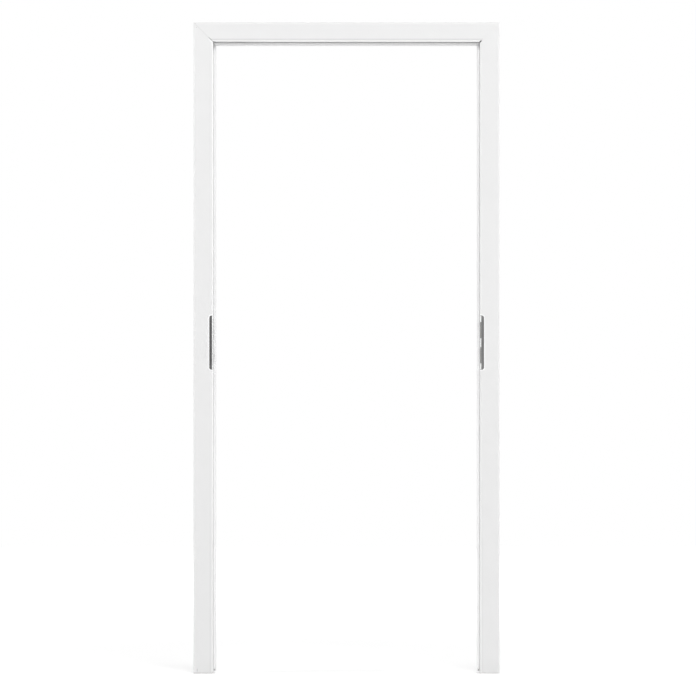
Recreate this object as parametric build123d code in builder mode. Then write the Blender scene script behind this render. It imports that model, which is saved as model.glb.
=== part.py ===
from build123d import *
import os

# A white block door frame: two jambs and a head with mitred corners, a stop strip and a seal set back
# behind the face, and an angled strike plate on each jamb. Millimetres. X runs from the left jamb to the
# right one, Y from the front face to the back, Z up. The origin is on the wall side of the left jamb, at
# floor level and mid depth.

# Size of the door that the frame takes
rebate_width = 841.0
rebate_height = 1990.0

# Block profile
face_width = 62.0
frame_depth = 100.0
rebate_depth = 28.0
face_edge_radius = 4.0
wall_edge_radius = 5.0
back_edge_radius = 2.0
mitre_groove = 0.3

# Stop strip, held by a tongue in a groove of the block
stop_projection = 8.0
stop_nose_radius = 1.5
stop_back_radius = 2.0
tongue_width = 10.0
tongue_height = 6.0
tongue_side_play = 0.1
groove_floor_play = 0.5
stop_floor_gap = 7.0

# Seal, held by its stem in a kerf of the stop
kerf_width = 2.6
kerf_depth = 9.0
seal_width = 6.0
seal_rise = 5.0
seal_wall = 0.9
seal_base = 1.0
seal_side_play = 0.3
stem_width = 1.4
stem_length = 7.0
barb_reach = 0.45
barb_length = 1.6
barb_spacing = 2.2
barb_count = 2
seal_floor_gap = 14.0

# Strike plates
strike_height = 1043.0
plate_length = 170.0
plate_thickness = 2.0
lip_width = 12.0
leg_width = 24.0
plate_corner_radius = 7.5
plate_seat_play = 0.2
strike_opening_length = 51.0
strike_opening_bridge = 28.0
strike_opening_reach = 18.0
strike_opening_wrap = 4.0
strike_opening_radius = 1.5
plate_screw_radius = 2.0
plate_screw_head_radius = 3.9
plate_screw_margin = 9.5

# Pocket boxes behind the openings of the strike plates
box_wall = 1.5
box_depth = 22.0
box_front_cover = 4.5
box_mouth_play = 0.2
box_side_play = 0.2
box_corner_radius = 2.0

# Holes for the frame plugs that go through the rebate into the wall
fixing_radius = 5.0
fixing_outer_spacing = 1640.0
fixing_inner_spacing = 560.0
fixing_middle_height = 1025.0

# Bolts that draw the mitres together
bolt_radius = 3.0
bolt_hole_radius = 3.5
bolt_head_radius = 6.5
bolt_head_height = 5.0
bolt_socket_across = 5.0
bolt_socket_depth = 3.0
bolt_sink_radius = 7.5
bolt_sink_depth = 10.0
bolt_spacing = 44.0
bolt_tip_reach = 3.2
nut_radius = 5.0
nut_length = 20.0
nut_hole_play = 0.15
nut_thread_play = 0.1
nut_thread_reach = 4.0
nut_drop = 95.0

# Feet that keep the end grain off the floor
foot_height = 3.0
foot_inset = 1.0

# How far a cutter runs past the faces that it opens
cut_overrun = 2.0

# Sizes worked out from those above
frame_width = rebate_width + 2 * face_width
frame_height = rebate_height + face_width
front_y = -frame_depth / 2
rebate_x = face_width
stop_length = frame_depth - rebate_depth
opening_pitch = strike_opening_length + strike_opening_bridge
latch_height = strike_height + opening_pitch / 2
bolt_height = strike_height - opening_pitch / 2
fixing_y = front_y + rebate_depth / 2
mid_wall = face_width / 2
nut_z = frame_height - nut_drop
sink_floor = frame_height - bolt_sink_depth

# Planes that carry the profiles and the mitres
floor_plane = Plane(origin=(0, front_y, 0), x_dir=(1, 0, 0), z_dir=(0, 0, 1))
jamb_plane = floor_plane.offset(foot_height)
head_plane = Plane(origin=(0, front_y, frame_height), x_dir=(0, 0, -1), z_dir=(1, 0, 0))
middle_plane = Plane(origin=(frame_width / 2, 0, 0), x_dir=(0, 1, 0), z_dir=(1, 0, 0))
left_mitre = Plane(origin=(0, 0, frame_height), x_dir=(0, 1, 0), z_dir=(1, 0, 1))
right_mitre = Plane(origin=(frame_width, 0, frame_height), x_dir=(0, 1, 0), z_dir=(-1, 0, 1))

# Folder for the finished pieces
os.makedirs("parts", exist_ok=True)


def save(piece, name):
    """Labels a finished piece and writes it to its own file."""
    piece.part.label = name
    export_step(piece.part, f"parts/{name}.step")


def block_section(plane):
    """Block profile: local X runs from the wall side to the opening, local Y from the front to the back."""
    groove_width = tongue_width + 2 * tongue_side_play
    groove_depth = tongue_height + groove_floor_play
    with BuildSketch(plane) as section:
        with BuildLine():
            Polyline(
                (0, 0),
                (face_width, 0),
                (face_width, frame_depth),
                (0, frame_depth),
                close=True,
            )
        make_face()
        fillet(section.vertices().group_by(Axis.Y)[0].sort_by(Axis.X)[-1], radius=face_edge_radius)
        fillet(section.vertices().group_by(Axis.Y)[0].sort_by(Axis.X)[0], radius=wall_edge_radius)
        fillet(section.vertices().group_by(Axis.Y)[-1].sort_by(Axis.X)[0], radius=back_edge_radius)
        with Locations((face_width, rebate_depth + stop_length / 2)):
            Rectangle(2 * groove_depth, groove_width, mode=Mode.SUBTRACT)
    return section.sketch


def stop_section(plane):
    """Stop profile with its tongue, a kerf for the seal and rounded edges towards the opening."""
    kerf_centre = seal_side_play + seal_width / 2
    with BuildSketch(plane) as section:
        with Locations((face_width + stop_projection / 2, rebate_depth + stop_length / 2)):
            Rectangle(stop_projection, stop_length)
        fillet(section.vertices().group_by(Axis.X)[-1].sort_by(Axis.Y)[0], radius=stop_nose_radius)
        fillet(section.vertices().group_by(Axis.X)[-1].sort_by(Axis.Y)[-1], radius=stop_back_radius)
        with Locations((face_width - tongue_height / 2, rebate_depth + stop_length / 2)):
            Rectangle(tongue_height, tongue_width)
        with Locations((face_width + kerf_centre, rebate_depth)):
            Rectangle(kerf_width, 2 * kerf_depth, mode=Mode.SUBTRACT)
    return section.sketch


def seal_section(plane):
    """Seal profile: a hollow bulb in front of the stop and a barbed stem in its kerf."""
    centre = face_width + seal_side_play + seal_width / 2
    half = seal_width / 2
    base = rebate_depth - seal_base
    crown = rebate_depth - seal_rise
    inner_half = half - seal_wall
    with BuildSketch(plane) as section:
        with BuildLine():
            Line((centre - half, rebate_depth), (centre - half, base))
            ThreePointArc((centre - half, base), (centre, crown), (centre + half, base))
            Line((centre + half, base), (centre + half, rebate_depth))
            Line((centre + half, rebate_depth), (centre - half, rebate_depth))
        make_face()
        with BuildLine():
            Line((centre - inner_half, base), (centre + inner_half, base))
            ThreePointArc(
                (centre + inner_half, base),
                (centre, crown + seal_wall),
                (centre - inner_half, base),
            )
        make_face(mode=Mode.SUBTRACT)
        with Locations((centre, rebate_depth + stem_length / 2)):
            Rectangle(stem_width, stem_length)
        for step in range(barb_count):
            tip = rebate_depth + stem_length - step * barb_spacing
            root = tip - barb_length
            barb_half = stem_width / 2 + barb_reach
            with BuildLine():
                Polyline(
                    (centre - stem_width / 2, tip),
                    (centre + stem_width / 2, tip),
                    (centre + barb_half, root),
                    (centre - barb_half, root),
                    close=True,
                )
            make_face()
    return section.sketch


def foot_section(plane):
    """Foot outline: the block's, flush at the wall side and set in on the sides that show."""
    with BuildSketch(plane) as section:
        with Locations(((face_width - foot_inset) / 2, frame_depth / 2)):
            Rectangle(face_width - foot_inset, frame_depth - 2 * foot_inset)
        fillet(section.vertices().group_by(Axis.Y)[0].sort_by(Axis.X)[0], radius=wall_edge_radius)
        fillet(section.vertices().group_by(Axis.Y)[0].sort_by(Axis.X)[-1], radius=face_edge_radius)
    return section.sketch


def plate_strip(thickness, end_play, proud, length):
    """Bent strip round the front edge of the left jamb: the strike plate, or a larger one that cuts its seat."""
    lip_x = rebate_x - lip_width - end_play
    leg_y = front_y + leg_width + end_play
    outer = (rebate_x + proud, front_y - proud)
    inner = (rebate_x - thickness, front_y + thickness)
    bottom = Plane.XY.offset(strike_height - length / 2)
    with BuildPart() as strip:
        with BuildSketch(bottom):
            with BuildLine():
                FilletPolyline(
                    (lip_x, outer[1]), outer, (outer[0], leg_y), radius=face_edge_radius + proud
                )
                Line((outer[0], leg_y), (inner[0], leg_y))
                FilletPolyline(
                    (inner[0], leg_y), inner, (lip_x, inner[1]), radius=face_edge_radius - thickness
                )
                Line((lip_x, inner[1]), (lip_x, outer[1]))
            make_face()
        extrude(amount=length)
        lip_corners = strip.edges().filter_by(Axis.Y).group_by(Axis.X)[0]
        leg_corners = strip.edges().filter_by(Axis.X).group_by(Axis.Y)[-1]
        fillet(lip_corners + leg_corners, radius=plate_corner_radius + end_play)
    return strip.part


def opening_cutter(height, wrapped):
    """Prism of one strike opening, through the leg, or through the leg and the bend where it is wrapped."""
    near = front_y - cut_overrun if wrapped else front_y + box_front_cover + box_wall
    far = front_y + strike_opening_reach
    side = Plane(
        origin=(rebate_x + cut_overrun, (near + far) / 2, height),
        x_dir=(0, 1, 0),
        z_dir=(-1, 0, 0),
    )
    with BuildPart() as cutter:
        with BuildSketch(side):
            Rectangle(far - near, strike_opening_length)
        extrude(amount=strike_opening_wrap + cut_overrun)
        corner_edges = cutter.edges().filter_by(Axis.X).sort_by(Axis.Y)
        fillet(corner_edges[2:] if wrapped else corner_edges, radius=strike_opening_radius)
    return cutter.part


def box_shape(height, play, lead):
    """Outer body of a pocket box; with play and a lead towards the opening it is the pocket cut for it."""
    mouth = rebate_x - plate_thickness - plate_seat_play - box_mouth_play + lead
    near = front_y + box_front_cover - play
    far = front_y + strike_opening_reach + box_wall + play
    length = strike_opening_length + 2 * (box_wall + play)
    side = Plane(origin=(mouth, (near + far) / 2, height), x_dir=(0, 1, 0), z_dir=(-1, 0, 0))
    with BuildPart() as body:
        with BuildSketch(side):
            RectangleRounded(far - near, length, box_corner_radius + play)
        extrude(amount=box_depth + play + lead)
    return body.part


def mitre_seam():
    """Fine V groove that the eased edges of the left mitre leave across the face."""
    across = Plane(origin=(0, front_y, frame_height), x_dir=(0, 1, 0), z_dir=(1, 0, -1))
    with BuildPart() as seam:
        with BuildSketch(across):
            RegularPolygon(mitre_groove, 4)
        extrude(amount=Vector(face_width, 0, face_width).length)
    return seam.part


def jamb(wrapped):
    """Left-hand jamb: the profile cut to the mitre, with the seat of the strike plate, pockets and holes."""
    with BuildPart() as block:
        extrude(block_section(jamb_plane), amount=frame_height)
        split(bisect_by=left_mitre, keep=Keep.BOTTOM)
        add(mitre_seam(), mode=Mode.SUBTRACT)
        add(
            plate_strip(
                plate_thickness + plate_seat_play,
                plate_seat_play,
                cut_overrun,
                plate_length + 2 * plate_seat_play,
            ),
            mode=Mode.SUBTRACT,
        )
        for height in (latch_height, bolt_height):
            add(box_shape(height, box_side_play, cut_overrun), mode=Mode.SUBTRACT)
            if wrapped:
                add(opening_cutter(height, wrapped), mode=Mode.SUBTRACT)
        for spacing in (fixing_outer_spacing, fixing_inner_spacing):
            for side in (-1, 1):
                height = fixing_middle_height + side * spacing / 2
                with Locations(Plane(origin=(rebate_x, fixing_y, height), z_dir=(1, 0, 0))):
                    Hole(radius=fixing_radius, depth=face_width + cut_overrun)
        for side in (-1, 1):
            bolt_y = side * bolt_spacing / 2
            with Locations(Plane(origin=(mid_wall, bolt_y, frame_height), z_dir=(0, 0, 1))):
                Hole(radius=bolt_hole_radius, depth=nut_drop)
            with Locations(Plane(origin=(0, bolt_y, nut_z), z_dir=(-1, 0, 0))):
                Hole(radius=nut_radius + nut_hole_play, depth=mid_wall + nut_length / 2 + nut_hole_play)
    return block.part


def strike_plate(wrapped):
    """Left-hand strike plate: a lip on the face, a bend round the front edge and a leg with two openings."""
    with BuildPart() as plate:
        add(plate_strip(plate_thickness, 0, 0, plate_length))
        for height in (latch_height, bolt_height):
            add(opening_cutter(height, wrapped), mode=Mode.SUBTRACT)
        for side in (-1, 1):
            height = strike_height + side * (plate_length / 2 - plate_screw_margin)
            with Locations(Plane(origin=(rebate_x, front_y + leg_width / 2, height), z_dir=(1, 0, 0))):
                CounterSinkHole(
                    radius=plate_screw_radius,
                    counter_sink_radius=plate_screw_head_radius,
                    depth=plate_thickness + cut_overrun,
                )
    return plate.part


def pocket_box(height, wrapped):
    """Left-hand pocket box, open towards the plate and cut away where the opening runs round the bend."""
    near = front_y + box_front_cover + box_wall
    far = front_y + strike_opening_reach
    with BuildPart() as box:
        add(box_shape(height, 0, 0))
        mouth = box.faces().sort_by(Axis.X)[-1].center().X
        with BuildSketch(Plane(origin=(mouth, (near + far) / 2, height), x_dir=(0, 1, 0), z_dir=(-1, 0, 0))):
            Rectangle(far - near, strike_opening_length)
        extrude(amount=box_depth - box_wall, mode=Mode.SUBTRACT)
        if wrapped:
            with BuildSketch(Plane(origin=(rebate_x, front_y, height), x_dir=(0, 1, 0), z_dir=(-1, 0, 0))):
                Rectangle(2 * (box_front_cover + box_wall + cut_overrun), strike_opening_length)
            extrude(amount=strike_opening_wrap, mode=Mode.SUBTRACT)
    return box.part


# Left side: its strike plate has a closed bend
with BuildPart() as left_jamb:
    add(jamb(wrapped=False))
save(left_jamb, "left_jamb")

with BuildPart() as left_strike_plate:
    add(strike_plate(wrapped=False))
save(left_strike_plate, "left_strike_plate")

# Right side: its openings run on round the bend, where the latch slides in
with BuildPart() as right_jamb:
    mirror(jamb(wrapped=True), about=middle_plane)
save(right_jamb, "right_jamb")

with BuildPart() as right_strike_plate:
    mirror(strike_plate(wrapped=True), about=middle_plane)
save(right_strike_plate, "right_strike_plate")

# Pocket boxes for the latch and the bolt
for name, height in (("latch_box", latch_height), ("bolt_box", bolt_height)):
    with BuildPart() as left_box:
        add(pocket_box(height, wrapped=False))
    save(left_box, f"left_{name}")

    with BuildPart() as right_box:
        mirror(pocket_box(height, wrapped=True), about=middle_plane)
    save(right_box, f"right_{name}")

# Head: the same profile across the top, with sunk holes for the corner bolts; the right half mirrors the left
with BuildPart() as head:
    extrude(block_section(head_plane), amount=frame_width / 2)
    split(bisect_by=left_mitre, keep=Keep.TOP)
    add(mitre_seam(), mode=Mode.SUBTRACT)
    for side in (-1, 1):
        with Locations(Plane(origin=(mid_wall, side * bolt_spacing / 2, frame_height), z_dir=(0, 0, 1))):
            CounterBoreHole(
                radius=bolt_hole_radius,
                counter_bore_radius=bolt_sink_radius,
                counter_bore_depth=bolt_sink_depth,
                depth=face_width + cut_overrun,
            )
    mirror(about=middle_plane)
save(head, "head")

# Stop strips and seals, mitred like the blocks that carry them
for name, section, floor_gap in (
    ("stop", stop_section, stop_floor_gap),
    ("seal", seal_section, seal_floor_gap),
):
    with BuildPart() as left_strip:
        extrude(section(floor_plane.offset(floor_gap)), amount=frame_height)
        split(bisect_by=left_mitre, keep=Keep.BOTTOM)
    save(left_strip, f"left_{name}")

    with BuildPart() as right_strip:
        mirror(left_strip.part, about=middle_plane)
    save(right_strip, f"right_{name}")

    with BuildPart() as head_strip:
        extrude(section(head_plane), amount=frame_width)
        split(bisect_by=left_mitre, keep=Keep.TOP)
        split(bisect_by=right_mitre, keep=Keep.TOP)
    save(head_strip, f"head_{name}")

# Feet under the blocks
with BuildPart() as left_foot:
    extrude(foot_section(floor_plane), amount=foot_height)
save(left_foot, "left_foot")

with BuildPart() as right_foot:
    mirror(left_foot.part, about=middle_plane)
save(right_foot, "right_foot")

# Corner bolts, with a hexagon socket, and the barrel nuts that they screw into
with BuildPart() as left_corner_bolts:
    for side in (-1, 1):
        bolt_y = side * bolt_spacing / 2
        with BuildSketch(Plane.XY.offset(sink_floor)):
            with Locations((mid_wall, bolt_y)):
                Circle(bolt_head_radius)
        extrude(amount=bolt_head_height)
        with BuildSketch(Plane.XY.offset(sink_floor)):
            with Locations((mid_wall, bolt_y)):
                Circle(bolt_radius)
        extrude(amount=nut_z - bolt_tip_reach - sink_floor)
        with BuildSketch(Plane.XY.offset(sink_floor + bolt_head_height)):
            with Locations((mid_wall, bolt_y)):
                RegularPolygon(bolt_socket_across / 2, 6, major_radius=False)
        extrude(amount=-bolt_socket_depth, mode=Mode.SUBTRACT)
save(left_corner_bolts, "left_corner_bolts")

with BuildPart() as right_corner_bolts:
    mirror(left_corner_bolts.part, about=middle_plane)
save(right_corner_bolts, "right_corner_bolts")

with BuildPart() as left_barrel_nuts:
    for side in (-1, 1):
        bolt_y = side * bolt_spacing / 2
        nut_start = Plane(origin=(mid_wall - nut_length / 2, bolt_y, nut_z), z_dir=(1, 0, 0))
        with BuildSketch(nut_start):
            Circle(nut_radius)
        extrude(amount=nut_length)
        with BuildSketch(Plane.XY.offset(nut_z - nut_thread_reach)):
            with Locations((mid_wall, bolt_y)):
                Circle(bolt_radius + nut_thread_play)
        extrude(amount=nut_thread_reach + nut_radius + cut_overrun, mode=Mode.SUBTRACT)
save(left_barrel_nuts, "left_barrel_nuts")

with BuildPart() as right_barrel_nuts:
    mirror(left_barrel_nuts.part, about=middle_plane)
save(right_barrel_nuts, "right_barrel_nuts")
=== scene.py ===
import math

import bmesh
import bpy
from mathutils import Matrix, Vector


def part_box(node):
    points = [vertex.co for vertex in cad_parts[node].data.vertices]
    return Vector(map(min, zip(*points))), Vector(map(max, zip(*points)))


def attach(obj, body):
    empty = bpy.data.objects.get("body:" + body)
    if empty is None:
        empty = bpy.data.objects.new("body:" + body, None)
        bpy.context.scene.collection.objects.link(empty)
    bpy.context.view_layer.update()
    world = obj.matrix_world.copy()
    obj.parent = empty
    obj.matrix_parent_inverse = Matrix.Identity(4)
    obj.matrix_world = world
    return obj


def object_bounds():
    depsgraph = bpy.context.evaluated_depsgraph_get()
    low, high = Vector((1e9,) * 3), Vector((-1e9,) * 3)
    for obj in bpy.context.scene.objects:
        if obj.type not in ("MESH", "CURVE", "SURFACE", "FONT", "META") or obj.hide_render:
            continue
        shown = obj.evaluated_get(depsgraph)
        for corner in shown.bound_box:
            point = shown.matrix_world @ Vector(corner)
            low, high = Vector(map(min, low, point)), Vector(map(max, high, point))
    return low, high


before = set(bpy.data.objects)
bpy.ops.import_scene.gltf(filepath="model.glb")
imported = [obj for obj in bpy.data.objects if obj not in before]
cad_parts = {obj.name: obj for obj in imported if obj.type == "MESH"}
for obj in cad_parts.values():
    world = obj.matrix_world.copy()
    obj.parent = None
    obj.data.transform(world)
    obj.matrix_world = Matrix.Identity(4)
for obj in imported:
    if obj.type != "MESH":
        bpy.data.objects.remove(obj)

# A white block door frame on a plain pale floor, seen straight from the front. Metres, in the frame of
# the CAD model: X from the left jamb to the right one, Y from the front face to the back, Z up.

CAD_LOW, CAD_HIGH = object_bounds()
BODY = "root"
MM = 0.001

# Lines of the frame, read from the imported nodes
FRONT_Y = CAD_LOW.y
BACK_Y = CAD_HIGH.y
MIDDLE_X = (CAD_LOW.x + CAD_HIGH.x) / 2
HALF_WIDTH = (CAD_HIGH.x - CAD_LOW.x) / 2
TOP_Z = CAD_HIGH.z
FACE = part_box("left_jamb")[1].x - CAD_LOW.x
BLOCK_END_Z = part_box("left_jamb")[0].z
STRIKE_Z = (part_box("left_strike_plate")[0].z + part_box("left_strike_plate")[1].z) / 2
STRIKE_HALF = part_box("left_strike_plate")[1].z - STRIKE_Z
LEG_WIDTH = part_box("left_strike_plate")[1].y - FRONT_Y
LIP_WIDTH = FACE - (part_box("left_strike_plate")[0].x - CAD_LOW.x)

# Roundings: the corners of the strike plates, and the mean of the blocks' two front edges
PLATE_CORNER_RADIUS = 7.5 * MM
BLOCK_EDGE_RADIUS = 4.5 * MM

# How the photograph frames the object
PICTURE_PIXELS = 696
METRES_PER_PIXEL = 0.00315
OBJECT_MIDDLE_PIXEL = (346.5, 348.0)
CAMERA_DISTANCE = 19.0
CAMERA_REACH = 100.0
SENSOR_MILLIMETRES = 36.0

# Light
AMBIENT_LEVEL = 0.477
KEY_DISTANCE = 12.0
KEY_SIZE = 4.2
KEY_AZIMUTH = 7.0
KEY_ELEVATION = 43.0
KEY_POWER = 449.0
SIDE_DISTANCE = 9.0
SIDE_SIZE = 4.0
SIDE_AZIMUTH = 75.0
SIDE_ELEVATION = 12.0
SIDE_POWER = 241.0
BACK_DISTANCE = 10.0
BACK_SIZE = 4.0
BACK_ELEVATION = 25.0
BACK_POWER = 130.0

# The floor, with a glow that grows between two distances from the frame's middle
FLOOR_SIZE = 24.0
FLOOR_TONE = 0.8
FLOOR_NEAR = 1.5
FLOOR_FAR = 6.0
FLOOR_NEAR_GLOW = 0.33
FLOOR_FAR_GLOW = 0.62

# Lightness of the finishes
LACQUER_TONE = 0.855
SEAL_TONE = 0.86
LIGHTEST_TONE = 0.99
# The next four are painted reflections of the strike plates' steel: lips, bend and leg
LEFT_LIP_PAINTED_REFLECTION = 0.1
RIGHT_LIP_PAINTED_REFLECTION = 0.18
BEND_PAINTED_REFLECTION = 0.55
LEG_PAINTED_REFLECTION = 0.75
BOX_TONE = 0.06
# The feet are one plastic; their two tones are painted shade on the left and painted light on the right
LEFT_FOOT_PAINTED_SHADE_TONE = 0.8
RIGHT_FOOT_PAINTED_LIGHT_TONE = 0.9

# Colours
WHITE = (1.0, 1.0, 1.0, 1.0)
DARK_BOARD = (0.30, 0.19, 0.11, 1.0)
LIGHT_BOARD = (0.55, 0.40, 0.26, 1.0)
BRIGHT_ZINC = (0.66, 0.66, 0.63, 1.0)
DULL_ZINC = (0.46, 0.47, 0.45, 1.0)

# Roughness of the finishes before their texture
LACQUER_ROUGHNESS = 0.4
BOARD_ROUGHNESS = 0.9
SEAL_ROUGHNESS = 0.5
STEEL_ROUGHNESS = 0.24
PLASTIC_ROUGHNESS = 0.5
ZINC_ROUGHNESS = 0.16

# Depth of the finishes' relief, with the bare board's as a multiple of the lacquer's
LACQUER_RELIEF = 0.04 * MM
BOARD_RELIEF_TIMES = 6.0
SEAL_RELIEF = 0.05 * MM
STEEL_RELIEF = 0.03 * MM
PLASTIC_RELIEF = 0.06 * MM
ZINC_RELIEF = 0.03 * MM

# Painted shade and painted highlight lines along the rebate's rounded edge, as shares of the lacquer's
# lightness
HEAD_PAINTED_SHADE = 0.16
LOW_JAMB_PAINTED_SHADE = 0.05
HEAD_PAINTED_HIGHLIGHT = 0.08
HIGH_JAMB_PAINTED_HIGHLIGHT = 0.15
LOW_JAMB_PAINTED_HIGHLIGHT = 0.04

# Joint lines of the mitres, as shares of the lacquer's lightness
FRONT_JOINT = 0.1
BACK_JOINT = 0.4

# Two dents near the upper left corner, each by its distance from the side and from the top
DENTS = ((5.4 * MM, 3.8 * MM), (9.8 * MM, 16.0 * MM))

# Screws of the strike plates
SCREW_SIDES = 48
SCREW_MARGIN = 9.5 * MM
SCREW_HEAD_RADIUS = 3.6 * MM
SCREW_HEAD_SINK = 0.15 * MM
SCREW_HEAD_HEIGHT = 1.75 * MM
SCREW_RIM = 0.12 * MM
SCREW_NECK_RADIUS = 1.7 * MM
SCREW_LENGTH = 25.0 * MM
SCREW_POINT_LENGTH = 4.0 * MM
SCREW_TIP_RADIUS = 0.2 * MM
CROSS_REACH = 2.1 * MM
CROSS_HALF_WIDTH = 0.45 * MM
CROSS_FLOOR_REACH = 0.945 * MM
CROSS_FLOOR_HALF_WIDTH = 0.315 * MM
CROSS_DEPTH = 1.3 * MM


class Field:
    """A number that varies over a surface: a shader socket that can be used in plain arithmetic."""

    def __init__(self, tree, socket):
        self.tree = tree
        self.socket = socket

    def combine(self, operation, *others):
        node = self.tree.nodes.new("ShaderNodeMath")
        node.operation = operation
        for socket, value in zip(node.inputs, (self, *others)):
            put(self.tree, socket, value)
        return Field(self.tree, node.outputs[0])

    def __add__(self, other):
        return self.combine("ADD", other)

    def __sub__(self, other):
        return self.combine("SUBTRACT", other)

    def __rsub__(self, other):
        return (self * -1.0) + other

    def __mul__(self, other):
        return self.combine("MULTIPLY", other)

    def __abs__(self):
        return self.combine("ABSOLUTE")

    def least(self, other):
        return self.combine("MINIMUM", other)

    def most(self, other):
        return self.combine("MAXIMUM", other)

    def rises(self, start, end):
        """0 below start and 1 above end, with a soft step between them."""
        node = self.tree.nodes.new("ShaderNodeMapRange")
        node.interpolation_type = "SMOOTHSTEP"
        put(self.tree, node.inputs["Value"], self)
        node.inputs["From Min"].default_value = start
        node.inputs["From Max"].default_value = end
        return Field(self.tree, node.outputs["Result"])

    def falls(self, start, end):
        """1 below start and 0 above end, with a soft step between them."""
        return 1.0 - self.rises(start, end)

    def near(self, centre, half_width):
        """1 at the centre, fading to 0 at half_width to either side."""
        return abs(self - centre).falls(0.0, half_width)

    def lighter(self, where, by=1.0):
        """Raised by this share where the other field is 1."""
        return self * (where * by + 1.0)

    def darker(self, where, by=1.0):
        """Lowered by this share where the other field is 1."""
        return self * (1.0 - where * by)


def put(tree, socket, value):
    """Gives a shader input a field, a link or a plain value."""
    if isinstance(value, Field):
        tree.links.new(value.socket, socket)
    elif isinstance(value, bpy.types.NodeSocket):
        tree.links.new(value, socket)
    else:
        socket.default_value = value


def add_node(tree, kind, settings=None, **inputs):
    """Adds a shader node, sets its options, and gives each named input a value or a link."""
    node = tree.nodes.new(kind)
    for key, value in (settings or {}).items():
        setattr(node, key, value)
    for key, value in inputs.items():
        name = int(key[1:]) if key[1:].isdigit() else key.replace("_", " ")
        put(tree, node.inputs[name], value)
    return node


def mix_colour(tree, factor, first, second):
    """Mix of two colours; at factor 1 it is the second."""
    node = add_node(tree, "ShaderNodeMix", {"data_type": "RGBA"})
    put(tree, node.inputs[0], factor)
    put(tree, node.inputs[6], first)
    put(tree, node.inputs[7], second)
    return node.outputs[2]


def grey(tree, tone):
    """A neutral colour from one field."""
    node = add_node(tree, "ShaderNodeCombineColor", Red=tone, Green=tone, Blue=tone)
    return node.outputs["Color"]


def hypotenuse(across, along):
    """The straight distance over two fields at right angles."""
    return (across * across + along * along).combine("SQRT")


def rounded_depth(across, along, size_across, size_along, radius):
    """How deep a point lies under the surface of a bar of rounded rectangular section; negative outside."""
    over_across = abs(across - size_across / 2) - (size_across / 2 - radius)
    over_along = abs(along - size_along / 2) - (size_along / 2 - radius)
    corner = hypotenuse(over_across.most(0.0), over_along.most(0.0))
    inside = over_across.most(over_along).least(0.0)
    return radius - corner - inside


class Surface:
    """A new material with its Principled shader and the point that is shaded, in metres."""

    def __init__(self, name, **constants):
        self.material = bpy.data.materials.new(name)
        self.material.use_nodes = True
        self.tree = self.material.node_tree
        self.shader = self.tree.nodes["Principled BSDF"]
        for key, value in constants.items():
            self.shader.inputs[key.replace("_", " ")].default_value = value
        self.place = add_node(self.tree, "ShaderNodeTexCoord").outputs["Object"]
        split = add_node(self.tree, "ShaderNodeSeparateXYZ", Vector=self.place)
        self.x, self.y, self.z = (Field(self.tree, split.outputs[axis]) for axis in "XYZ")

    def noise(self, scale, detail=2.0, stretch=(1.0, 1.0, 1.0)):
        """Noise from 0 to 1 around 0.5; scale is in cycles a metre, and stretch multiplies it by axis."""
        scaled = add_node(
            self.tree, "ShaderNodeVectorMath", {"operation": "MULTIPLY"}, i0=self.place, i1=stretch
        )
        node = add_node(
            self.tree, "ShaderNodeTexNoise", Vector=scaled.outputs[0], Scale=scale, Detail=detail
        )
        return Field(self.tree, node.outputs["Fac"])

    def link(self, name, value):
        put(self.tree, self.shader.inputs[name], value)

    def bump(self, height, depth):
        """Bump from a height field of 0 to 1, with its depth in metres."""
        node = add_node(self.tree, "ShaderNodeBump", Strength=1.0, Distance=depth, Height=height)
        self.link("Normal", node.outputs["Normal"])


class FrameSurface(Surface):
    """A surface of the frame, with distances over its mitred profile and masks of its parts."""

    def __init__(self, name, **constants):
        super().__init__(name, **constants)
        self.from_front = self.y - FRONT_Y
        self.from_side = HALF_WIDTH - abs(self.x - MIDDLE_X)
        self.from_top = TOP_Z - self.z
        self.inset = self.from_side.least(self.from_top)
        self.from_rebate = FACE - self.inset
        self.past_rebate = self.inset - FACE
        self.past_mitre = (self.from_side - self.from_top) * math.sqrt(0.5)
        self.on_face = self.from_front.falls(3 * MM, 6 * MM)
        self.on_left = (self.x - MIDDLE_X).falls(-10 * MM, 10 * MM)
        self.on_right = 1.0 - self.on_left
        self.on_left_face = self.on_left * self.on_face
        self.on_right_face = self.on_right * self.on_face
        self.on_head = self.past_mitre.rises(-1 * MM, 1 * MM)
        self.on_jamb = 1.0 - self.on_head
        self.in_lower_half = self.z.falls(600 * MM, 1100 * MM)

    def painted_upper_corner_shade(self):
        """Where shade is painted in the rebate: under its upper corners, on the jambs' stops and seals."""
        recessed = self.from_front.rises(12 * MM, 20 * MM) * self.past_rebate.rises(-0.2 * MM, 0.0)
        return (self.from_top - FACE).falls(8 * MM, 30 * MM) * self.on_jamb * recessed


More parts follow.
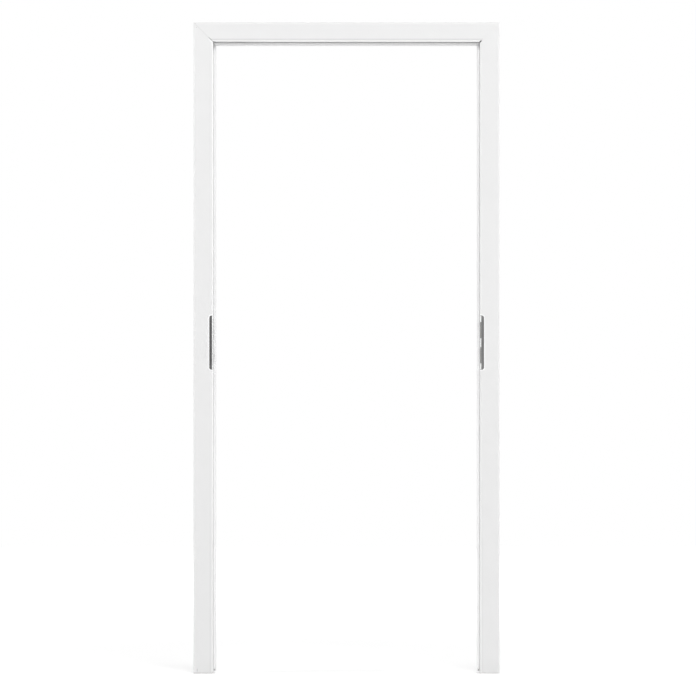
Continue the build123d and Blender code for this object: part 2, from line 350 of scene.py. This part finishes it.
def shade_rebate_edge(surface, tone):
    """The softened edge along the rebate: a painted shade line where it starts, and a narrow and a wide
    painted highlight on the rounding. The head's rounding has more painted shade towards the left corner."""
    low_part = surface.z.falls(300 * MM, 750 * MM)
    low_jamb = surface.on_jamb * low_part
    high_left_jamb = surface.on_jamb * surface.on_left * (1.0 - low_part)
    on_head, from_rebate = surface.on_head, surface.from_rebate
    painted_shade_share = on_head * HEAD_PAINTED_SHADE + low_jamb * LOW_JAMB_PAINTED_SHADE
    narrow_highlight_share = on_head * HEAD_PAINTED_HIGHLIGHT + high_left_jamb * HIGH_JAMB_PAINTED_HIGHLIGHT
    wide_highlight_share = on_head * HEAD_PAINTED_HIGHLIGHT + low_jamb * LOW_JAMB_PAINTED_HIGHLIGHT
    # Painted shade line and painted highlights on the rebate's rounded edge
    painted_shade_line = from_rebate.near(8.2 * MM, 3.9 * MM) * painted_shade_share
    narrow_highlight = from_rebate.falls(2.6 * MM, 3.8 * MM) * narrow_highlight_share
    wide_highlight = from_rebate.falls(5.2 * MM, 6.4 * MM) * wide_highlight_share
    tone = tone.lighter((narrow_highlight + wide_highlight - painted_shade_line) * surface.on_face)
    near_corner = (surface.from_side - FACE).falls(0.0, 250 * MM)
    # Painted shade on the head's rounding towards the left corner
    painted_left_corner_shade = from_rebate.falls(1.6 * MM, 3.2 * MM) * on_head * near_corner
    return tone.darker(painted_left_corner_shade * surface.on_left_face, by=0.25)


def shade_plate_seats(surface, tone):
    """Round the strike plates: a painted highlight on the lacquer round their seats, and inside it the open
    joint round the right plate's lip, widened by painted shade."""
    lip_depth = rounded_depth(
        surface.from_rebate + LIP_WIDTH,
        surface.z - (STRIKE_Z - STRIKE_HALF),
        2 * LIP_WIDTH,
        2 * STRIKE_HALF,
        PLATE_CORNER_RADIUS,
    )
    # Painted highlight round each seat; the right plate's open joint is darkened as painted shade
    painted_highlight_rim = lip_depth.falls(-0.6 * MM, -0.2 * MM) * lip_depth.rises(-4.4 * MM, -3.6 * MM)
    joint_with_painted_shade = lip_depth.rises(-0.9 * MM, -0.6 * MM)
    return tone.lighter(painted_highlight_rim * surface.on_face, by=0.2).darker(joint_with_painted_shade * surface.on_right_face, by=0.75)


def shade_mitres(surface, tone):
    """The mitres: on the face, the left joint is a soft line whose inner end stands open beside a painted
    highlight on its edge, and the right one is closed but for a dark spot at its inner end. The back shows
    both joints and the seams of the stops."""
    past_mitre, from_rebate = surface.past_mitre, surface.from_rebate
    on_back = (surface.y - BACK_Y).rises(-1 * MM, -0.5 * MM)
    joint = abs(past_mitre).falls(0.25 * MM, 0.7 * MM) * surface.on_left.most(on_back)
    stop_seam = surface.past_rebate.near(0.0, 0.5 * MM) * on_back
    joint_share = on_back * (BACK_JOINT - FRONT_JOINT) + FRONT_JOINT
    soft_band = past_mitre.near(0.8 * MM, 3.4 * MM) * surface.on_left_face
    near_end = from_rebate.falls(12 * MM, 18 * MM) * surface.on_left_face
    painted_highlight_edge = past_mitre.near(-3.2 * MM, 2.8 * MM) * near_end
    open_end = past_mitre.near(0.9 * MM, 2.0 * MM) * near_end
    left_corner = from_rebate.falls(2.2 * MM, 3.4 * MM) * past_mitre.falls(5 * MM, 9 * MM)
    right_corner = abs(past_mitre).falls(1.6 * MM, 2.6 * MM) * from_rebate.falls(3.5 * MM, 6.5 * MM)
    tone = tone.darker(joint.most(stop_seam) * joint_share)
    tone = tone.darker(soft_band, by=0.035)
    # Painted highlight on the left jamb's edge beside the joint's open end
    tone = tone.lighter(painted_highlight_edge, by=0.15)
    tone = tone.darker(open_end, by=0.4)
    tone = tone.darker(left_corner * surface.on_head * surface.on_left_face, by=0.35)
    return tone.darker(right_corner * surface.on_right_face, by=0.92)


def shade_marks(surface, tone):
    """Small marks: the dents near the upper left corner, and a short crack above the left foot."""
    for from_side, from_top in DENTS:
        distance = hypotenuse(surface.from_side - from_side, surface.from_top - from_top)
        tone = tone.darker(distance.falls(0.7 * MM, 2.4 * MM) * surface.on_left_face, by=0.2)
    crack = surface.from_side.near(12.5 * MM, 2.4 * MM) * surface.z.near(11 * MM, 8 * MM)
    return tone.darker(crack * surface.on_left_face, by=0.26)


def white_lacquer(name, has_core):
    """Satin white coat of the blocks and stops, with faint clouds, orange peel and dust, painted shade under
    the rebate's upper corners and above the feet, and painted light in the right stop's lower half. Bare
    board shows where a block is cut through."""
    surface = FrameSurface(name, IOR=1.5)
    clouds = surface.noise(2.1, detail=3.0) - 0.5
    mottle = surface.noise(38.0, detail=4.0) - 0.5
    tone = (clouds * 0.016 + mottle * 0.006) + LACQUER_TONE
    for shade in (shade_rebate_edge, shade_plate_seats, shade_mitres, shade_marks):
        tone = shade(surface, tone)

    on_stop = surface.past_rebate.rises(0.2 * MM, 1.0 * MM) * surface.from_front.falls(32 * MM, 44 * MM)
    on_right_stop = on_stop * surface.on_right * surface.on_jamb
    # Painted light: the right stop is lighter in its lower half
    tone = tone.lighter(on_right_stop * surface.in_lower_half, by=0.12)

    dust = surface.z.falls(4 * MM, 70 * MM) * surface.noise(24.0, detail=5.0, stretch=(1.0, 1.0, 0.6))
    # Painted shade on the blocks' lowest 2.4 mm above the feet and under the rebate's upper corners; the
    # dust near the floor is its own colour
    painted_foot_joint_shade = (surface.z - BLOCK_END_Z).falls(0.6 * MM, 2.4 * MM)
    tone = tone.darker(dust, by=0.05).darker(surface.painted_upper_corner_shade(), by=0.2).darker(painted_foot_joint_shade, by=0.05)

    colour = grey(surface.tree, tone.least(LIGHTEST_TONE))
    roughness = (mottle * 0.06 + dust * 0.15) + LACQUER_ROUGHNESS
    height = surface.noise(420.0)
    if has_core:
        depth = rounded_depth(
            surface.inset, surface.from_front, FACE, BACK_Y - FRONT_Y, BLOCK_EDGE_RADIUS
        )
        sawn_end = (surface.z - BLOCK_END_Z).falls(0.02 * MM, 0.06 * MM)
        bare = depth.rises(0.9 * MM, 1.3 * MM).most(sawn_end)
        fibre = surface.noise(900.0, detail=4.0) * 0.6 + surface.noise(160.0, detail=3.0) * 0.4
        board = mix_colour(surface.tree, fibre.rises(0.3, 0.7), DARK_BOARD, LIGHT_BOARD)
        colour = mix_colour(surface.tree, bare, colour, board)
        roughness = roughness * (1.0 - bare) + bare * BOARD_ROUGHNESS
        height = height + fibre * bare * BOARD_RELIEF_TIMES
    surface.link("Base Color", colour)
    surface.link("Roughness", roughness)
    surface.bump(height, LACQUER_RELIEF)
    return surface.material


def seal_rubber():
    """Soft off-white rubber with a faint extruded grain along its length. The flank towards the rebate has
    painted light on the jambs and painted shade on the head. The lower half has painted light, and the upper
    corners painted shade."""
    surface = FrameSurface("seal_rubber", IOR=1.45)
    upright_grain = surface.noise(500.0, stretch=(1.0, 1.0, 0.05))
    level_grain = surface.noise(500.0, stretch=(0.05, 1.0, 1.0))
    grain = upright_grain * 0.5 + level_grain * 0.5
    dust = surface.noise(70.0, detail=5.0)
    flank = surface.past_rebate.falls(1.0 * MM, 2.6 * MM)
    tone = (grain - 0.5) * 0.05 + (dust - 0.5) * 0.06 + SEAL_TONE
    # Painted light on the flank along the jambs, painted shade on it along the head
    tone = tone.lighter(flank * surface.on_jamb, by=0.16).darker(flank * surface.on_head, by=0.5)
    # Painted light on the lower half, painted shade under the upper corners
    tone = tone.lighter(surface.in_lower_half, by=0.08).darker(surface.painted_upper_corner_shade(), by=0.25)
    surface.link("Base Color", grey(surface.tree, tone.least(LIGHTEST_TONE)))
    surface.link("Roughness", dust * 0.2 + SEAL_ROUGHNESS)
    surface.bump(grain, SEAL_RELIEF)
    return surface.material


def strike_steel():
    """Brushed steel of the strike plates, with painted reflections: dark on the flat lip, darker on the left
    one with a painted highlight on its outer edge, and lighter on the bend and on the leg."""
    surface = FrameSurface("strike_steel", Metallic=1.0, Anisotropic=0.4)
    on_left, from_rebate = surface.on_left, surface.from_rebate
    on_bend = (from_rebate + on_left * (1.2 * MM)).falls(3.8 * MM, 5.6 * MM)
    on_leg = surface.from_front.rises(3 * MM, 5 * MM)
    lip = on_left * (LEFT_LIP_PAINTED_REFLECTION - RIGHT_LIP_PAINTED_REFLECTION) + RIGHT_LIP_PAINTED_REFLECTION
    painted_lip_edge_highlight = from_rebate.rises(LIP_WIDTH - 1.8 * MM, LIP_WIDTH - 0.6 * MM) * on_left
    from_screw = abs(abs(surface.z - STRIKE_Z) - (STRIKE_HALF - SCREW_MARGIN))
    brushing = surface.noise(1400.0, detail=3.0, stretch=(1.0, 1.0, 0.012))
    stains = surface.noise(90.0, detail=5.0)
    # Painted reflections: lip, bend and leg tones, and a painted highlight on the left lip's outer edge
    tone = lip + on_bend * (BEND_PAINTED_REFLECTION - lip) + on_leg * (LEG_PAINTED_REFLECTION - BEND_PAINTED_REFLECTION) + painted_lip_edge_highlight * 0.35
    tone = tone + (brushing - 0.5) * 0.07 + (stains - 0.5) * 0.05 + from_screw.falls(4 * MM, 9 * MM) * 0.02
    surface.link("Base Color", grey(surface.tree, tone))
    surface.link("Roughness", brushing * 0.15 + stains * 0.12 + STEEL_ROUGHNESS)
    surface.bump(brushing, STEEL_RELIEF)
    return surface.material


def moulded_plastic(name, tone):
    """Moulded plastic with a spark-eroded grain and lighter, rubbed high spots."""
    surface = Surface(name, IOR=1.46)
    grain = surface.noise(1100.0, detail=3.0)
    rubbed = surface.noise(130.0, detail=5.0).rises(0.5, 0.75)
    value = (rubbed * 0.12 + 1.0) * ((grain - 0.5) * 0.12 + 1.0) * tone
    surface.link("Base Color", grey(surface.tree, value))
    surface.link("Roughness", grain * 0.2 + PLASTIC_ROUGHNESS)
    surface.bump(grain, PLASTIC_RELIEF)
    return surface.material


def zinc_steel():
    """Zinc-plated steel of bolts, nuts and screws, with duller patches of chromate."""
    surface = Surface("zinc_steel", Metallic=1.0)
    patches = surface.noise(220.0, detail=5.0)
    fine = surface.noise(1600.0, detail=3.0)
    colour = mix_colour(surface.tree, patches.rises(0.42, 0.62), BRIGHT_ZINC, DULL_ZINC)
    surface.link("Base Color", colour)
    surface.link("Roughness", patches * 0.25 + fine * 0.1 + ZINC_ROUGHNESS)
    surface.bump(fine, ZINC_RELIEF)
    return surface.material


def dress(material, *names):
    """Gives a material to the CAD nodes of these names."""
    for name in names:
        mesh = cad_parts[name].data
        mesh.materials.clear()
        mesh.materials.append(material)


def add_object(name, data):
    """A new object of the scene with this mesh, lamp or camera."""
    new_object = bpy.data.objects.new(name, data)
    bpy.context.scene.collection.objects.link(new_object)
    return new_object


def around(outline):
    """Each point of a closed outline with the next one."""
    return zip(outline, outline[1:] + outline[:1])


def make_screw(name, material, rebate_x, outward, height):
    """Countersunk screw with a cross recess, in the leg of a strike plate; outward is +1 or -1 along X."""
    mesh = bmesh.new()

    def ring(radius, depth):
        """A circle of points about the screw's axis, at a depth below the plate's face."""
        turns = (2 * math.pi * step / SCREW_SIDES for step in range(SCREW_SIDES))
        return [mesh.verts.new((radius * math.cos(t), radius * math.sin(t), -depth)) for t in turns]

    def cross(reach, half, depth):
        """The twelve corners of the cross recess, going round."""
        quarter = [(reach, half), (half, half), (half, reach)]
        points = []
        for turn in range(4):
            spin = Matrix.Rotation(turn * math.pi / 2, 2)
            points += [spin @ Vector(p) for p in quarter]
        return [mesh.verts.new((p.x, p.y, -depth)) for p in points]

    def band(upper, lower):
        """Faces between two outlines of as many points."""
        for (a, b), (c, d) in zip(around(upper), around(lower)):
            mesh.faces.new((a, c, d, b))

    outlines = [
        ring(SCREW_HEAD_RADIUS - SCREW_RIM, SCREW_HEAD_SINK),
        ring(SCREW_HEAD_RADIUS, SCREW_HEAD_SINK + SCREW_RIM),
        ring(SCREW_NECK_RADIUS, SCREW_HEAD_SINK + SCREW_HEAD_HEIGHT),
        ring(SCREW_NECK_RADIUS, SCREW_LENGTH - SCREW_POINT_LENGTH),
        ring(SCREW_TIP_RADIUS, SCREW_LENGTH),
    ]
    for upper, lower in zip(outlines, outlines[1:]):
        band(upper, lower)
    mesh.faces.new(outlines[-1])

    mouth = cross(CROSS_REACH, CROSS_HALF_WIDTH, SCREW_HEAD_SINK)
    bottom = cross(CROSS_FLOOR_REACH, CROSS_FLOOR_HALF_WIDTH, SCREW_HEAD_SINK + CROSS_DEPTH)
    band(mouth, bottom)
    mesh.faces.new(bottom)
    rim_edges = [mesh.edges.get(pair) for outline in (outlines[0], mouth) for pair in around(outline)]
    bmesh.ops.triangle_fill(mesh, edges=rim_edges, use_beauty=True)
    bmesh.ops.recalc_face_normals(mesh, faces=mesh.faces)

    place = Matrix.Translation((rebate_x, FRONT_Y + LEG_WIDTH / 2, height))
    turn = Vector((outward, 0, 0)).to_track_quat("Z", "Y").to_matrix().to_4x4()
    bmesh.ops.transform(mesh, matrix=place @ turn, verts=mesh.verts)
    data = bpy.data.meshes.new(name)
    mesh.to_mesh(data)
    mesh.free()
    data.materials.append(material)
    screw = add_object(name, data)
    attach(screw, BODY)


def seen_directly(tree):
    """1 where the camera, a reflection or glass looks at a surface, and 0 where it only lights others."""
    path = add_node(tree, "ShaderNodeLightPath").outputs
    either = Field(tree, path["Is Camera Ray"]).most(path["Is Glossy Ray"])
    return either.most(path["Is Transmission Ray"])


def make_world():
    """White background; the same white, weaker, is the studio's ambient light."""
    world = bpy.data.worlds.new("studio")
    bpy.context.scene.world = world
    world.use_nodes = True
    tree = world.node_tree
    background = tree.nodes["Background"]
    background.inputs["Color"].default_value = WHITE
    level = seen_directly(tree) * (1.0 - AMBIENT_LEVEL) + AMBIENT_LEVEL
    put(tree, background.inputs["Strength"], level)


def make_floor():
    """Pale floor that keeps the object's soft shadow. A glow that is seen but lights nothing lifts it to the
    backdrop's white, and grows with the distance from the frame, so that no horizon shows."""
    material = bpy.data.materials.new("studio_floor")
    material.use_nodes = True
    tree = material.node_tree
    tree.nodes.remove(tree.nodes["Principled BSDF"])
    place = add_node(tree, "ShaderNodeTexCoord").outputs["Object"]
    length = add_node(tree, "ShaderNodeVectorMath", {"operation": "LENGTH"}, i0=place).outputs["Value"]
    far = Field(tree, length).rises(FLOOR_NEAR, FLOOR_FAR)
    glow = (far * (FLOOR_FAR_GLOW - FLOOR_NEAR_GLOW) + FLOOR_NEAR_GLOW) * seen_directly(tree)
    colour = (FLOOR_TONE, FLOOR_TONE, FLOOR_TONE, 1.0)
    diffuse = add_node(tree, "ShaderNodeBsdfDiffuse", Color=colour).outputs[0]
    emission = add_node(tree, "ShaderNodeEmission", Color=WHITE, Strength=glow).outputs[0]
    both = add_node(tree, "ShaderNodeAddShader", i0=diffuse, i1=emission).outputs[0]
    put(tree, tree.nodes["Material Output"].inputs["Surface"], both)

    half = FLOOR_SIZE / 2
    mesh = bpy.data.meshes.new("floor")
    corners = [(-half, -half, 0), (half, -half, 0), (half, half, 0), (-half, half, 0)]
    mesh.from_pydata(corners, [], [(0, 1, 2, 3)])
    mesh.materials.append(material)
    floor = add_object("floor", mesh)
    floor.location = (MIDDLE_X, 0, 0)


def make_lamp(name, azimuth, elevation, distance, size, power):
    """A large soft lamp that faces the frame; azimuth 0 is straight in front and 90 on the right."""
    data = bpy.data.lights.new(name, "AREA")
    data.shape = "DISK"
    data.size = size
    data.energy = power
    lamp = add_object(name, data)
    turn, lift = math.radians(azimuth), math.radians(elevation)
    reach = math.cos(lift)
    towards = Vector((math.sin(turn) * reach, -math.cos(turn) * reach, math.sin(lift)))
    lamp.location = Vector((MIDDLE_X, FRONT_Y, TOP_Z / 2)) + distance * towards
    lamp.rotation_mode = "QUATERNION"
    lamp.rotation_quaternion = towards.to_track_quat("Z", "Y")
    lamp.visible_camera = False


def make_camera():
    """Camera at the photograph's height and distance, level and square to the front face."""
    data = bpy.data.cameras.new("camera")
    data.sensor_width = SENSOR_MILLIMETRES
    data.lens = SENSOR_MILLIMETRES * CAMERA_DISTANCE / (PICTURE_PIXELS * METRES_PER_PIXEL)
    data.clip_end = CAMERA_REACH
    camera = add_object("camera", data)
    right = (PICTURE_PIXELS / 2 - OBJECT_MIDDLE_PIXEL[0]) * METRES_PER_PIXEL
    down = (PICTURE_PIXELS / 2 - OBJECT_MIDDLE_PIXEL[1]) * METRES_PER_PIXEL
    camera.location = (MIDDLE_X + right, FRONT_Y - CAMERA_DISTANCE, TOP_Z / 2 - down)
    camera.rotation_euler = (math.radians(90), 0, 0)
    bpy.context.scene.camera = camera


dress(white_lacquer("white_lacquer_block", has_core=True), "left_jamb", "right_jamb", "head")
dress(white_lacquer("white_lacquer_stop", has_core=False), "left_stop", "right_stop", "head_stop")
dress(seal_rubber(), "left_seal", "right_seal", "head_seal")
dress(strike_steel(), "left_strike_plate", "right_strike_plate")
box_plastic = moulded_plastic("box_plastic", BOX_TONE)
dress(box_plastic, "left_latch_box", "right_latch_box", "left_bolt_box", "right_bolt_box")
# One plastic for both feet, darker on the left as painted shade and lighter on the right as painted light
dress(moulded_plastic("left_foot_plastic_painted_shade", LEFT_FOOT_PAINTED_SHADE_TONE), "left_foot")
dress(moulded_plastic("right_foot_plastic_painted_light", RIGHT_FOOT_PAINTED_LIGHT_TONE), "right_foot")
zinc = zinc_steel()
dress(zinc, "left_corner_bolts", "right_corner_bolts", "left_barrel_nuts", "right_barrel_nuts")

for side, outward in (("left", 1), ("right", -1)):
    rebate_x = MIDDLE_X - outward * (HALF_WIDTH - FACE)
    for level, step in (("upper", 1), ("lower", -1)):
        height = STRIKE_Z + step * (STRIKE_HALF - SCREW_MARGIN)
        make_screw(f"{side}_{level}_plate_screw", zinc, rebate_x, outward, height)

make_world()
make_floor()
make_lamp("key", KEY_AZIMUTH, KEY_ELEVATION, KEY_DISTANCE, KEY_SIZE, KEY_POWER)
for name, azimuth in (("left_side", -SIDE_AZIMUTH), ("right_side", SIDE_AZIMUTH)):
    make_lamp(name, azimuth, SIDE_ELEVATION, SIDE_DISTANCE, SIDE_SIZE, SIDE_POWER)
make_lamp("back", 180.0, BACK_ELEVATION, BACK_DISTANCE, BACK_SIZE, BACK_POWER)
make_camera()

bpy.context.scene.view_settings.view_transform = "Standard"
